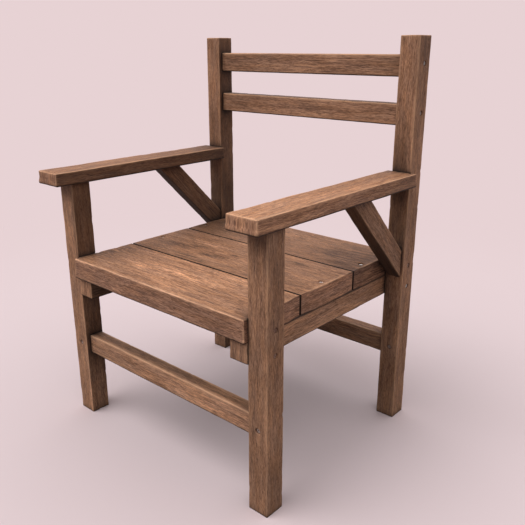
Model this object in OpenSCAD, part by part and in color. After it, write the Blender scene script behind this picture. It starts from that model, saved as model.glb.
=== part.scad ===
// Rustic armchair of heavy square timber, screwed and tenoned together.
// Millimetres. +Z is up, +X is the viewer's right and -Y is the front of the chair.
// The origin is on the floor, under the centre of the whole chair.

/* [Overall size] */
// Width over the outer faces of the legs
chair_width = 650; // [540:5:780]
// Depth from the front of the front legs to the rear of the back posts
chair_depth = 542; // [450:2:650]
// Height of the back posts
post_height = 931; // [880:1:1120]
// Height of the seat surface above the floor
seat_height = 426.5; // [355:0.5:510]
// Height of the underside of the armrests above the floor
arm_height = 608.5; // [580:0.5:660]

/* [Legs and posts] */
// Width of a front leg, across the chair
leg_width = 48; // [40:0.5:58]
// Depth of a front leg
leg_depth = 47; // [46:0.5:58]
// Width of a back post, across the chair
post_width = 46; // [42:0.5:55]
// Depth of a back post
post_depth = 48; // [46:0.5:58]
// Flat cut along every long edge of the timber
arris = 1.5; // [0.5:0.1:3]

/* [Seat] */
// Thickness of the seat boards
board_thickness = 46.5; // [34:0.5:56]
// Width of the front seat board
front_board_width = 169; // [140:1:203]
// Width of the middle seat board
middle_board_width = 190; // [158:1:228]
// Open gap between neighbouring seat boards
board_gap = 4; // [2:0.5:8]
// How far the front board stands out in front of the legs
board_overhang = 11.5; // [0:0.5:25]
// Height of the side rails
rail_height = 47.5; // [38:0.5:60]
// Thickness of the side rails, across the chair
rail_thickness = 45; // [36:0.5:54]
// How far the side rails stand out in front of the legs
rail_overhang = 2.5; // [0:0.5:8]

/* [Arms and braces] */
// Thickness of the armrests
arm_thickness = 27.5; // [24:0.5:38]
// How far the armrests stand out in front of the legs
arm_overhang = 44; // [20:1:60]
// How far the armrests reach past the inner faces of the legs
arm_inner_overhang = 10; // [4:0.5:20]
// How far the armrests reach past the outer faces of the legs
arm_outer_overhang = 15; // [4:0.5:25]
// How far the lowest point of the braces is below the seat surface
brace_drop = 42; // [20:0.5:60]
// Slope of the braces, in degrees from level
brace_angle = 45; // [42:0.5:49]
// Distance from the outer face of the post to the outer face of the brace
brace_inset = 7.5; // [2:0.5:12]

/* [Slats and stretchers] */
// Face width of the slats, stretchers and braces
light_width = 45.5; // [38:0.5:50]
// Thickness of the slats, stretchers and braces
light_thickness = 32; // [26:0.5:34]
// Distance from the top of the posts down to the upper slat
upper_slat_drop = 39.5; // [20:0.5:60]
// Distance from the top edge of the upper slat to that of the lower slat
slat_pitch = 106; // [80:0.5:130]
// Distance from the front face of the posts back to the slats
slat_setback = 12; // [6:0.5:14]
// Height of the top edge of the two stretchers
stretcher_top = 216.5; // [120:0.5:260]
// Distance from the front face of a leg or post back to its stretcher
stretcher_setback = 11.5; // [6:0.5:13]

/* [Joints] */
// Play between timber faces that are fitted between two others
side_clearance = 0.4; // [0.2:0.1:0.8]
// Play all round a tenon in its mortise
tenon_clearance = 0.2; // [0.1:0.05:0.4]
// Play all round a screw or dowel in its hole
hole_clearance = 0.1; // [0.05:0.05:0.3]
// Side of the square stub tenon on top of a front leg
stub_side = 24; // [18:0.5:28]
// Height of the stub tenon on top of a front leg
stub_height = 15; // [10:0.5:16]
// Height of a stretcher tenon
tenon_height = 28; // [22:0.5:32]
// Thickness of a stretcher tenon
tenon_thickness = 16; // [12:0.5:18]
// How far a stretcher tenon reaches into its leg
tenon_length = 36; // [32:0.5:38]
// Diameter of the dowel at the top of a brace
dowel_diameter = 10; // [8:0.5:12]
// Length of the dowel at the top of a brace
dowel_length = 36; // [28:1:38]

/* [Screws] */
// Diameter of the slotted screw heads
head_diameter = 9.5; // [8:0.5:11]
// Diameter of the screw shanks
shank_diameter = 5; // [4:0.5:6]
// Depth of the sunk recess above each head
recess_depth = 1.5; // [0.5:0.25:3]
// Diameter of the sunk recess above each head
recess_diameter = 12; // [12:0.5:14]
// Length of the screws that go through a leg or a post
long_screw = 80; // [70:1:88]
// Length of the screws that hold the seat boards down
seat_screw = 70; // [60:1:80]
// Length of the screws that pin the stretcher tenons
short_screw = 36; // [30:1:40]
// Distance from a seat board's end to its hold-down screw
seat_screw_inset = 15; // [12:0.5:24]
// Height of the side screws above the bottom of the seat boards
board_screw_rise = 29; // [18:0.5:30]

/* [Hidden] */

LEFT = -1;
RIGHT = 1;
FACETS = 32;

// Front-to-back positions, with the origin midway between the armrest fronts and the post backs
leg_front = (arm_overhang - chair_depth) / 2;
post_rear = leg_front + chair_depth;
post_front = post_rear - post_depth;
leg_centre = leg_front + leg_depth / 2;
post_centre = post_rear - post_depth / 2;
arm_front = leg_front - arm_overhang;

// Side-to-side positions, on the +X side
outer_face = chair_width / 2;
leg_inner = outer_face - leg_width;
post_inner = outer_face - post_width;
leg_middle = outer_face - leg_width / 2;
post_middle = outer_face - post_width / 2;
seat_end = min(leg_inner, post_inner) - side_clearance;
brace_outer = outer_face - brace_inset;
brace_middle = brace_outer - light_thickness / 2;

// Heights
board_bottom = seat_height - board_thickness;
rail_bottom = board_bottom - rail_height;
rail_middle = rail_bottom + rail_height / 2;
stretcher_bottom = stretcher_top - light_width;
stretcher_middle = stretcher_top - light_width / 2;
brace_foot = seat_height - brace_drop;
brace_cut_height = light_width / cos(brace_angle);
brace_screw_share = 0.72;
brace_screw_level = brace_foot + brace_cut_height * brace_screw_share;

// Seat boards: the front and middle ones have a stated width and the rear one takes the rest
front_board_y = leg_front - board_overhang;
middle_board_y = front_board_y + front_board_width + board_gap;
rear_board_y = middle_board_y + middle_board_width + board_gap;
rear_board_width = post_rear - rear_board_y;
middle_screw_share = 0.47;
rear_screw_share = 0.28;
middle_screw_y = middle_board_y + middle_board_width * middle_screw_share;
rear_screw_y = rear_board_y + rear_board_width * rear_screw_share;

// Slats: their screws enter at mid thickness, a little above mid height
slat_front = post_front + slat_setback;
slat_middle_y = slat_front + light_thickness / 2;
slat_screw_share = 0.4;
slat_screw_drop = light_width * slat_screw_share;
upper_slat_top = post_height - upper_slat_drop;
lower_slat_top = upper_slat_top - slat_pitch;

// Where the top of a brace meets the armrest
brace_run = (arm_height - brace_foot - brace_cut_height / 2) / tan(brace_angle);
dowel_y = post_front - brace_run + dowel_diameter / 2;

// Screw shape
head_height = (head_diameter - shank_diameter) / 2;
rim_height = 0.6;
point_height = 7;
slot_width = 1.3;
slot_depth = 1.2;

// Slots stop at a different angle on every screw
slot_spin = 0.73;
function slot_turn(place) = slot_spin * place;

// Small overlap that makes one solid of two pieces that meet
EASE = 0.02;

// A bar along +Z, size x by y by z, its long edges cut back by the arris
module bar(x, y, z) {
  a = arris;
  linear_extrude(z)
    polygon([[a, 0], [x - a, 0], [x, a], [x, y - a], [x - a, y], [a, y], [0, y - a], [0, a]]);
}

// The same bar laid along +X and along +Y, each with its low corner at the origin
module bar_x(x, y, z) { rotate([90, 0, 90]) bar(y, z, x); }
module bar_y(x, y, z) { translate([0, y, 0]) rotate([90, 0, 0]) bar(x, z, y); }

// Countersunk screw pointing down -Z, the middle of its head at the origin
module screw(length) {
  head = head_diameter / 2;
  shank = shank_diameter / 2;
  difference() {
    rotate_extrude($fn = FACETS)
      polygon([
        [0, 0], [head, 0], [head, -rim_height], [shank, -rim_height - head_height],
        [shank, point_height - length], [0, -length]
      ]);
    translate([-head_diameter, -slot_width / 2, -slot_depth])
      cube([2 * head_diameter, slot_width, 2 * slot_depth]);
  }
}

// Hole for that screw with its clearance, and the sunk recess that opens above the head
module screw_hole(length) {
  c = hole_clearance;
  head = head_diameter / 2 + c;
  shank = shank_diameter / 2 + c;
  translate([0, 0, -c])
    rotate_extrude($fn = FACETS)
      polygon([
        [0, recess_depth + 1], [recess_diameter / 2, recess_depth + 1],
        [recess_diameter / 2, c], [head, c], [head, -rim_height],
        [shank, -rim_height - head_height], [shank, point_height - length], [0, -length]
      ]);
}

// Places that screws go, each turned so that -Z points into the timber
module side_places(side) {
  heights = [rail_middle, board_bottom + board_screw_rise];
  for (y = [leg_centre, post_centre], z = heights)
    translate([side * (outer_face - recess_depth), y, z]) rotate([slot_turn(z + y), 0, 0])
      rotate([0, side * 90, 0]) children();
}
module slat_places(side) {
  for (z = [upper_slat_top, lower_slat_top])
    translate([side * (outer_face - recess_depth), slat_middle_y, z - slat_screw_drop])
      rotate([slot_turn(z), 0, 0]) rotate([0, side * 90, 0]) children();
}
module seat_places(side) {
  for (y = [middle_screw_y, rear_screw_y])
    translate([side * (seat_end - seat_screw_inset), y, seat_height - recess_depth])
      rotate([0, 0, slot_turn(y)]) children();
}
module stretcher_places(side) {
  for (p = [[leg_middle, leg_front], [post_middle, post_front]])
    translate([side * p[0], p[1] + recess_depth, stretcher_middle]) rotate([90, 0, 0])
      rotate([0, 0, slot_turn(side * p[0] + p[1])]) children();
}
module arm_place(side) {
  translate([side * post_middle, post_rear - recess_depth, arm_height + arm_thickness / 2])
    rotate([-90, 0, 0]) rotate([0, 0, slot_turn(side * post_middle)]) children();
}
module brace_place(side) {
  translate([side * brace_middle, post_rear - recess_depth, brace_screw_level])
    rotate([-90, 0, 0]) rotate([0, 0, slot_turn(side * brace_middle)]) children();
}
module dowel_place(side) {
  translate([side * brace_middle, dowel_y, arm_height]) children();
}

module dowel(grow) {
  cylinder(h = dowel_length + 2 * grow, d = dowel_diameter + 2 * grow, center = true, $fn = FACETS);
}

// One tenon reaching out along +X, or the mortise for it when grown
module stretcher_tenon(grow) {
  translate([-EASE - grow, -tenon_thickness / 2 - grow, -tenon_height / 2 - grow])
    cube([tenon_length + EASE + 2 * grow, tenon_thickness + 2 * grow, tenon_height + 2 * grow]);
}
function tenon_y(face) = face + stretcher_setback + light_thickness / 2;

module leg_stub(grow) {
  side = stub_side + 2 * grow;
  translate([-side / 2, -side / 2, -EASE]) cube([side, side, stub_height + grow + EASE]);
}

module front_leg(side) {
  color("#7a5a45")
    difference() {
      union() {
        translate([side * leg_middle - leg_width / 2, leg_front, 0])
          bar(leg_width, leg_depth, arm_height);
        translate([side * leg_middle, leg_centre, arm_height]) leg_stub(0);
      }
      side_places(side) screw_hole(long_screw);
      stretcher_places(side) screw_hole(short_screw);
      mirror([side == LEFT ? 1 : 0, 0, 0])
        translate([leg_inner, tenon_y(leg_front), stretcher_middle])
          stretcher_tenon(tenon_clearance);
    }
}

module back_post(side) {
  color("#6b4c3b")
    difference() {
      translate([side * post_middle - post_width / 2, post_front, 0])
        bar(post_width, post_depth, post_height);
      side_places(side) screw_hole(long_screw);
      slat_places(side) screw_hole(long_screw);
      stretcher_places(side) screw_hole(short_screw);
      arm_place(side) screw_hole(long_screw);
      brace_place(side) screw_hole(long_screw);
      mirror([side == LEFT ? 1 : 0, 0, 0])
        translate([post_inner, tenon_y(post_front), stretcher_middle])
          stretcher_tenon(tenon_clearance);
    }
}

module side_rail(side) {
  middle = seat_end - rail_thickness / 2;
  color("#64473a")
    difference() {
      translate([side * middle - rail_thickness / 2, leg_front - rail_overhang, rail_bottom])
        bar_y(rail_thickness, chair_depth + rail_overhang, rail_height);
      side_places(side) screw_hole(long_screw);
      seat_places(side) screw_hole(seat_screw);
    }
}

module seat_board(y, width) {
  color("#a0714f")
    difference() {
      translate([-seat_end, y, board_bottom]) bar_x(2 * seat_end, width, board_thickness);
      for (side = [LEFT, RIGHT]) {
        side_places(side) screw_hole(long_screw);
        seat_places(side) screw_hole(seat_screw);
      }
    }
}

module armrest(side) {
  low = min(side * (leg_inner - arm_inner_overhang), side * (outer_face + arm_outer_overhang));
  width = leg_width + arm_inner_overhang + arm_outer_overhang;
  length = post_front - side_clearance - arm_front;
  color("#a3734f")
    difference() {
      translate([low, arm_front, arm_height]) bar_y(width, length, arm_thickness);
      translate([side * leg_middle, leg_centre, arm_height]) leg_stub(tenon_clearance);
      arm_place(side) screw_hole(long_screw);
      dowel_place(side) dowel(hole_clearance);
    }
}

// Side view of a brace: an upright cut on the post and a level cut under the armrest
module brace_profile() {
  rise = arm_height - brace_foot;
  lower_run = rise / tan(brace_angle);
  upper_run = (rise - brace_cut_height) / tan(brace_angle);
  polygon([[0, 0], [0, brace_cut_height], [-upper_run, rise], [-lower_run, rise]]);
}
module arm_brace(side) {
  color("#6f4f3d")
    difference() {
      translate([side * brace_middle - light_thickness / 2, post_front, brace_foot])
        rotate([90, 0, 90]) linear_extrude(light_thickness) brace_profile();
      brace_place(side) screw_hole(long_screw);
      dowel_place(side) dowel(hole_clearance);
    }
}

module back_slat(top) {
  length = 2 * (post_inner - side_clearance);
  color("#7a5843")
    difference() {
      translate([-length / 2, slat_front, top - light_width])
        bar_x(length, light_thickness, light_width);
      for (side = [LEFT, RIGHT]) slat_places(side) screw_hole(long_screw);
    }
}

module stretcher(face, inner) {
  half = inner - side_clearance;
  color("#8a634a")
    difference() {
      union() {
        translate([-half, face + stretcher_setback, stretcher_bottom])
          bar_x(2 * half, light_thickness, light_width);
        for (turn = [0, 1])
          mirror([turn, 0, 0])
            translate([half, tenon_y(face), stretcher_middle]) stretcher_tenon(0);
      }
      for (side = [LEFT, RIGHT]) stretcher_places(side) screw_hole(short_screw);
    }
}

module front_leg_left() { front_leg(LEFT); }
module front_leg_right() { front_leg(RIGHT); }
module back_post_left() { back_post(LEFT); }
module back_post_right() { back_post(RIGHT); }
module side_rail_left() { side_rail(LEFT); }
module side_rail_right() { side_rail(RIGHT); }
module seat_board_front() { seat_board(front_board_y, front_board_width); }
module seat_board_middle() { seat_board(middle_board_y, middle_board_width); }
module seat_board_rear() { seat_board(rear_board_y, rear_board_width); }
module armrest_left() { armrest(LEFT); }
module armrest_right() { armrest(RIGHT); }
module arm_brace_left() { arm_brace(LEFT); }
module arm_brace_right() { arm_brace(RIGHT); }
module back_slat_upper() { back_slat(upper_slat_top); }
module back_slat_lower() { back_slat(lower_slat_top); }
module front_stretcher() { stretcher(leg_front, leg_inner); }
module rear_stretcher() { stretcher(post_front, post_inner); }

// Fasteners, one group of separate pieces for each job
module side_screws() {
  color("#9a9a9c") for (side = [LEFT, RIGHT]) side_places(side) screw(long_screw);
}
module seat_screws() {
  color("#9a9a9c") for (side = [LEFT, RIGHT]) seat_places(side) screw(seat_screw);
}
module slat_screws() {
  color("#9a9a9c") for (side = [LEFT, RIGHT]) slat_places(side) screw(long_screw);
}
module stretcher_screws() {
  color("#9a9a9c") for (side = [LEFT, RIGHT]) stretcher_places(side) screw(short_screw);
}
module arm_screws() {
  color("#9a9a9c") for (side = [LEFT, RIGHT]) arm_place(side) screw(long_screw);
}
module brace_screws() {
  color("#9a9a9c") for (side = [LEFT, RIGHT]) brace_place(side) screw(long_screw);
}
module brace_dowels() {
  color("#b58a60") for (side = [LEFT, RIGHT]) dowel_place(side) dowel(0);
}

front_leg_left();
front_leg_right();
back_post_left();
back_post_right();
side_rail_left();
side_rail_right();
seat_board_front();
seat_board_middle();
seat_board_rear();
armrest_left();
armrest_right();
arm_brace_left();
arm_brace_right();
back_slat_upper();
back_slat_lower();
front_stretcher();
rear_stretcher();
side_screws();
seat_screws();
slat_screws();
stretcher_screws();
arm_screws();
brace_screws();
brace_dowels();
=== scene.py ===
# %% [markdown]
# # A rustic armchair of heavy timber
#
# The chair is seventeen straight sticks of timber held by slotted screws. The frame that is loaded
# below is the exact, clean joiner's version. This lesson swaps each clean stick for a worn one that
# fills the same place, adds screws with real slots, and then makes the finishes, light and camera.

import math

import bpy
import numpy as np
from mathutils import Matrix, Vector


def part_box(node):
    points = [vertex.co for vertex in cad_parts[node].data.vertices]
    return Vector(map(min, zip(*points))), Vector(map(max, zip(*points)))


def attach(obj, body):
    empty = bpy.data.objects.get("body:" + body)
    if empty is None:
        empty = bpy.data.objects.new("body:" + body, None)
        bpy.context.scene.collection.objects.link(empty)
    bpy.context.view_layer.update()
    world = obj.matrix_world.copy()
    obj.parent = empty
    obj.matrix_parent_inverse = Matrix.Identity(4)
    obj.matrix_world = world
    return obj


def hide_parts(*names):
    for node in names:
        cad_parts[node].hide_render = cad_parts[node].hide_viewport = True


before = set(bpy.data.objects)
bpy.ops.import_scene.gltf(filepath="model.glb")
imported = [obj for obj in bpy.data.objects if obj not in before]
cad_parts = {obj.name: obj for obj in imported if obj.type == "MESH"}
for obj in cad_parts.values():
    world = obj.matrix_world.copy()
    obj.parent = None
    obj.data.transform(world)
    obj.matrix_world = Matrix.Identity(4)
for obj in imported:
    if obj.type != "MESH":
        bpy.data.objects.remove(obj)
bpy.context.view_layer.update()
# One millimetre in the scene's metres
MM = 0.001
print("nodes in the frame:", len(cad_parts))

# %% [markdown]
# ## Smooth random numbers
#
# Hand-worn timber is uneven, and a texture can only pretend that. The outline shows it too, so the
# mesh itself must wander. Lattice noise does this: every corner of a grid of boxes gets a random
# value from a seed, and points between blend the eight corners around them. A long, thin box gives
# noise that is drawn out along the grain.


# %% Noise on a lattice
def lattice_noise(points, cell, seed):
    """Values from -1 to 1. With q = points / cell, the result blends hashed values at the eight
    whole-number corners around q, with the weight t * t * (3 - 2 t) along each axis."""
    q = points / (np.asarray(cell, float) * MM)
    low = np.floor(q).astype(np.int64)
    t = q - low
    t = t * t * (3.0 - 2.0 * t)
    total = np.zeros(len(points))
    for corner in np.ndindex(2, 2, 2):
        i = low + np.array(corner)
        mixed = (i[:, 0] * 73856093) ^ (i[:, 1] * 19349663) ^ (i[:, 2] * 83492791) ^ (seed * 2654435)
        mixed = (mixed ^ (mixed >> 13)) * 1274126177
        value = ((mixed ^ (mixed >> 16)) & 0xFFFF) / 32767.5 - 1.0
        weight = np.prod(np.where(np.array(corner) == 1, t, 1.0 - t), axis=1)
        total += weight * value
    return total


def smooth_step(low, high, x):
    """0 below low, 1 above high, and t * t * (3 - 2 t) between, with t the share of the way."""
    t = np.clip((x - low) / (high - low), 0.0, 1.0)
    return t * t * (3.0 - 2.0 * t)


probe = lattice_noise(np.random.default_rng(1).random((1000, 3)), (40, 40, 40), 5)
print("noise runs from", probe.min().round(2), "to", probe.max().round(2))

# %% [markdown]
# ## Where the screws sit
#
# Each screw head lies at the bottom of a small sunk recess, so the worn timber has to be carved
# there. The places come from the frame: a group of screws is a box with a head in each corner, so
# the head centres are one head radius in from the box's sides. Where a group has fewer heads, its
# timber's middle gives the rest.

# %% Read the head places from the frame
HEAD_RADIUS = 4.75 * MM


def span(node, axis):
    """Lowest and highest coordinate of a node along one axis."""
    low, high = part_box(node)
    return float(low[axis]), float(high[axis])


def inset(node, axis):
    """The two head centres of a group along one axis, one head radius in from its box."""
    low, high = span(node, axis)
    return low + HEAD_RADIUS, high - HEAD_RADIUS


def middle(node, axis):
    """Centre of a node along one axis."""
    return sum(span(node, axis)) / 2


heads = {group: [] for group in (
    "side_screws", "slat_screws", "seat_screws", "stretcher_screws", "arm_screws", "brace_screws")}
for sign in (-1, 1):
    side = "left" if sign < 0 else "right"
    leg, post = "front_leg_" + side, "back_post_" + side
    side_x = sign * span("side_screws", 0)[1]
    for y in inset("side_screws", 1):
        for z in inset("side_screws", 2):
            heads["side_screws"].append(((side_x, y, z), (sign, 0, 0)))
    for z in inset("slat_screws", 2):
        heads["slat_screws"].append(((side_x, middle("slat_screws", 1), z), (sign, 0, 0)))
    for y in inset("seat_screws", 1):
        x = sign * inset("seat_screws", 0)[1]
        heads["seat_screws"].append(((x, y, span("seat_screws", 2)[1]), (0, 0, 1)))
    # How far a head lies under the face of its timber, the same for every screw
    sunk = span(leg, 0)[1] - side_x if sign > 0 else side_x - span(leg, 0)[0]
    for owner in (leg, post):
        place = (middle(owner, 0), span(owner, 1)[0] + sunk, middle("stretcher_screws", 2))
        heads["stretcher_screws"].append((place, (0, -1, 0)))
    for group, owner in (("arm_screws", post), ("brace_screws", "arm_brace_" + side)):
        place = (middle(owner, 0), span(group, 1)[1], middle(group, 2))
        heads[group].append((place, (0, 1, 0)))
for group, places in heads.items():
    print(group, len(places), "heads, first at", np.round(places[0][0], 4))

# %% [markdown]
# ## One worn stick of timber
#
# Think of a sharp box. Shrink it by a radius, and push every surface point out from that inner box
# by the same radius: the faces stay flat and the edges become round. Two changes make it old. The
# radius drifts along each edge, and the surface is then pressed in by noise, most near the edges,
# where hands, boots and chair backs knock it. A Bevel modifier would round every edge alike, so the
# rounding is worked out here instead.
#
# The points need to be close only where the shape turns: at the edges, round a screw and beside a
# joint. Everywhere else they may lie far apart, which keeps the whole chair light.

# %% Where points lie close, in millimetres
EDGE_GAPS = np.array([0.35, 0.8, 1.3, 2.0, 2.9, 4.2, 6.5, 9.5])
SCREW_GAPS = np.arange(-7.2, 7.3, 0.8)
JOINT_GAPS = np.array([-3.0, -1.2, 0.0, 1.2, 3.0])
END_GAPS = np.array([0.4, 0.9, 1.6, 2.6, 4.2, 7.0, 11.0])
LEAST_GAP = 0.3
print("a screw adds", len(SCREW_GAPS), "rows of points, and a joint adds", len(JOINT_GAPS))


# %% Spread of points along one direction
def spaced(half, step, screws_at, joints_at=()):
    """Sorted places from -half to half: even steps, closer ones near both ends to carry the
    rounding, close ones beside each joint, and very close ones around each screw."""
    near_edge = half - EDGE_GAPS * MM
    count = max(3, int(round(2 * half / step)) + 1)
    runs = [np.linspace(-half, half, count), near_edge, -near_edge]
    runs += [at + SCREW_GAPS * MM for at in screws_at]
    runs += [at + JOINT_GAPS * MM for at in joints_at]
    places = np.unique(np.clip(np.concatenate(runs), -half, half).round(6))
    keep = np.concatenate([[True], np.diff(places) > LEAST_GAP * MM])
    places = places[keep]
    places[-1] = half
    return places


print("a 48 mm face gets", len(spaced(24 * MM, 5 * MM, [0.0])), "points")


# %% Grid on the sharp box
def box_grid(half, step, screws, joints):
    """Rows of points round the box, from one end to the other. A row along the sides runs round
    the four faces at one length u. On the ends the same row shrinks towards the middle."""
    hu, hv, hw = half
    v = spaced(hv, step, screws[1], joints[1])
    w = spaced(hw, step, screws[2], joints[2])
    v_side, w_side = np.ones(len(v) - 1), np.ones(len(w) - 1)
    round_v = np.concatenate([v[:-1], hv * w_side, v[:0:-1], -hv * w_side])
    round_w = np.concatenate([hw * v_side, w[:0:-1], -hw * v_side, w[:-1]])
    u = spaced(hu, 1.15 * step, screws[0], joints[0])
    shrink = 1.0 - END_GAPS * MM / min(hv, hw)
    shrink = np.concatenate([shrink[shrink > 0.4], [0.38, 0.2, 0.06]])
    rows_u = np.concatenate([np.full(len(shrink), -hu), u, np.full(len(shrink), hu)])
    rows_s = np.concatenate([shrink[::-1], np.ones(len(u)), shrink])
    sharp = np.empty((len(rows_u), len(round_v), 3))
    sharp[:, :, 0] = rows_u[:, None]
    sharp[:, :, 1] = rows_s[:, None] * round_v[None, :]
    sharp[:, :, 2] = rows_s[:, None] * round_w[None, :]
    return sharp


def ring_quads(rows, columns):
    """Quads between neighbouring rows of points, each row joined round."""
    r, c = np.meshgrid(np.arange(rows - 1), np.arange(columns), indexing="ij")
    here, there, following = r * columns, (r + 1) * columns, (c + 1) % columns
    return np.stack([here + c, there + c, there + following, here + following], -1).reshape(-1, 4)


def fan(pole, first, columns):
    """Triangles from a pole to the row of points that begins at first."""
    c = np.arange(columns)
    return np.stack([np.full(columns, pole), first + c, first + (c + 1) % columns], -1)


def closed_faces(rows, columns):
    """The rows' quads and a fan at each end. The two poles come after the points of all rows."""
    count = rows * columns
    end = fan(count + 1, count - columns, columns)[:, [0, 2, 1]]
    return ring_quads(rows, columns), np.concatenate([fan(count, 0, columns), end])


print("a small closed grid has", len(closed_faces(4, 6)[0]), "quads")


# %% Wear on the box
def worn_surface(sharp, half, seed, style):
    """For a sharp point p, c is p held inside the box shrunk by r, and n is the direction from c
    to p. The round point is c + r n. It then moves in by
    wave * noise - proud + edge * near * noise + chip * near^2 * (noise above a level),
    where near is exp(-distance to the nearest edge / 6 mm) and proud is what the timber has
    swollen. Crisp sides get less of all of these. The underside is spared the share kept of its
    edge wear, and swells more."""
    radius, wave, edge, chip, crisp, kept = style
    shift = np.array([seed * 0.731, seed * 0.317, seed * 0.519])
    side = sharp[:, 1] / half[1]
    sharpness = crisp[0] * smooth_step(0.5, 0.9, -side) + crisp[1] * smooth_step(0.5, 0.9, side)
    drift = lattice_noise(sharp + shift, (46, 30, 30), seed + 11)
    r = radius * MM * np.clip(1.0 + 0.75 * drift, 0.35, 2.0) * (1 - 0.6 * sharpness)
    inner = np.clip(sharp, -(half - r[:, None]), half - r[:, None])
    out = sharp - inner
    normal = out / np.linalg.norm(out, axis=1, keepdims=True)
    gaps = np.sort(half - np.abs(sharp), axis=1)
    spared = kept * smooth_step(0.1, 0.7, -sharp[:, 2] / half[2])
    near = np.exp(-gaps[:, 1] / (6 * MM)) * (1 - 0.85 * sharpness) * (1 - spared)
    slow = 0.5 + 0.5 * lattice_noise(sharp + shift, (120, 60, 60), seed + 1)
    ripple = 0.5 + 0.5 * lattice_noise(sharp + shift, (38, 16, 16), seed + 2)
    dent = 0.5 + 0.5 * lattice_noise(sharp + shift, (26, 15, 15), seed + 3)
    gouge = smooth_step(0.42, 0.85, lattice_noise(sharp + shift, (17, 13, 13), seed + 4))
    proud = (1.2 + 1.8 * spared) * (1 - sharpness)
    depth = MM * (
        wave * (0.6 * slow + 0.4 * ripple) - proud + edge * near * dent**1.5 + chip * near**2 * gouge)
    arris = np.exp(-gaps[:, 1] / (1.8 * MM))
    return inner + r[:, None] * normal, normal, depth, near, arris, sharpness


print("wear rule ready")

# %% [markdown]
# ## Measure every stick first
#
# Each stick is described by its centre, its half sizes along its own length u and across it (v and
# w), and the three directions u, v and w. With all of them in one list, any point can ask how far
# it is from the nearest timber. That distance is what tells a corner from an open face.

# %% Sizes of the sticks
ALONG = {
    "x": np.array([[1, 0, 0], [0, 1, 0], [0, 0, 1]], float),
    "y": np.array([[0, 1, 0], [-1, 0, 0], [0, 0, 1]], float),
    "z": np.array([[0, 0, 1], [1, 0, 0], [0, 1, 0]], float),
}


def stick(node, along, **limits):
    """Centre, half sizes, directions and end shear of a square-ended stick, from its node's box.
    limits may replace the box on an axis, such as x=(low, high)."""
    low, high = (np.array(c, float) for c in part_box(node))
    for axis, (start, stop) in limits.items():
        low["xyz".index(axis)], high["xyz".index(axis)] = start, stop
    turn = ALONG[along]
    return {"centre": (low + high) / 2,
            "half": np.abs(turn @ (high - low)) / 2,
            "turn": turn,
            "shear": (0, 0)}


def brace(node, thick):
    """The same for a brace. Its foot is cut upright on the post and its head level under the
    armrest. With the slope s, the foot end slides by w tan(s) and the head end by -w / tan(s)."""
    low, high = (np.array(c, float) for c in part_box(node))
    rise, run = high[2] - low[2], high[1] - low[1]
    slope = math.atan2(rise, run)
    along = np.array([0, -math.cos(slope), math.sin(slope)])
    above = np.array([0, math.sin(slope), math.cos(slope)])
    start = np.array([(low[0] + high[0]) / 2, high[1], low[2]]) + above * thick / 2
    first = (thick / 2) * math.tan(slope)
    last = math.hypot(rise, run) - (thick / 2) / math.tan(slope)
    return {"centre": start + along * (first + last) / 2,
            "half": np.array([(last - first) / 2, (high[0] - low[0]) / 2, thick / 2]),
            "turn": np.stack([along, np.cross(above, along), above]),
            "shear": (math.tan(slope), -1 / math.tan(slope))}


# Tenons are left off: legs stop under the armrests, and stretchers 3 mm inside legs and posts.
# The braces are cut from the same stock as the slats.
sticks = {}
arm_underside = span("armrest_left", 2)[0]
slat_height = span("back_slat_upper", 2)[1] - span("back_slat_upper", 2)[0]
hidden = 3 * MM
for side in ("left", "right"):
    sticks["front_leg_" + side] = stick("front_leg_" + side, "z", z=(0.0, arm_underside))
    sticks["back_post_" + side] = stick("back_post_" + side, "z")
    sticks["side_rail_" + side] = stick("side_rail_" + side, "y")
    sticks["armrest_" + side] = stick("armrest_" + side, "y")
    sticks["arm_brace_" + side] = brace("arm_brace_" + side, slat_height)
for board in ("front", "middle", "rear"):
    sticks["seat_board_" + board] = stick("seat_board_" + board, "x")
for slat in ("upper", "lower"):
    sticks["back_slat_" + slat] = stick("back_slat_" + slat, "x")
for bar, owner in (("front_stretcher", "front_leg_"), ("rear_stretcher", "back_post_")):
    seen = (span(owner + "left", 0)[1] - hidden, span(owner + "right", 0)[0] + hidden)
    sticks[bar] = stick(bar, "x", x=seen)
print(len(sticks), "sticks measured")

# %% [markdown]
# ## Painted shade in the corners
#
# Less light reaches corners than open faces, and that shade is painted into the colour of the wood.
# To find corners, step off the surface by a few distances and look at how much of each step is
# still free. Where another timber or the floor is closer than the step, the place is sheltered, and
# it is painted darker.


# %% Painted shade from the nearest timber
def box_distance(points, member):
    """Distance to one stick. With q = |p| - half in the stick's own directions, it is the length
    of the positive part of q plus the largest q where all are negative."""
    q = np.abs((points - member["centre"]) @ member["turn"].T) - member["half"]
    return np.linalg.norm(np.maximum(q, 0), axis=1) + np.minimum(q.max(axis=1), 0)


def touching(node):
    """Where the sticks that touch this one begin and end, along each of its own directions."""
    mine, places = sticks[node], [[], [], []]
    corner = np.array(list(np.ndindex(2, 2, 2))) * 2.0 - 1.0
    for name, other in sticks.items():
        there = (corner * other["half"]) @ other["turn"] + other["centre"]
        there = (there - mine["centre"]) @ mine["turn"].T
        low, high = there.min(axis=0), there.max(axis=0)
        if name == node or np.any(low > mine["half"] + MM) or np.any(high < -mine["half"] - MM):
            continue
        for k in range(3):
            places[k] += [at for at in (low[k], high[k]) if abs(at) < mine["half"][k] - MM]
    return places


def joint_shade_and_dirt(points, node):
    """Painted contact shade and dirt: 1 where another stick touches this one, fading as
    exp(-(distance / 2.8 mm)^2).
    """
    nearest = np.full(len(points), 1.0)
    for name, other in sticks.items():
        if name != node:
            nearest = np.minimum(nearest, np.maximum(box_distance(points, other), 0))
    return np.exp(-((nearest / (2.8 * MM)) ** 2))


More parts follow.
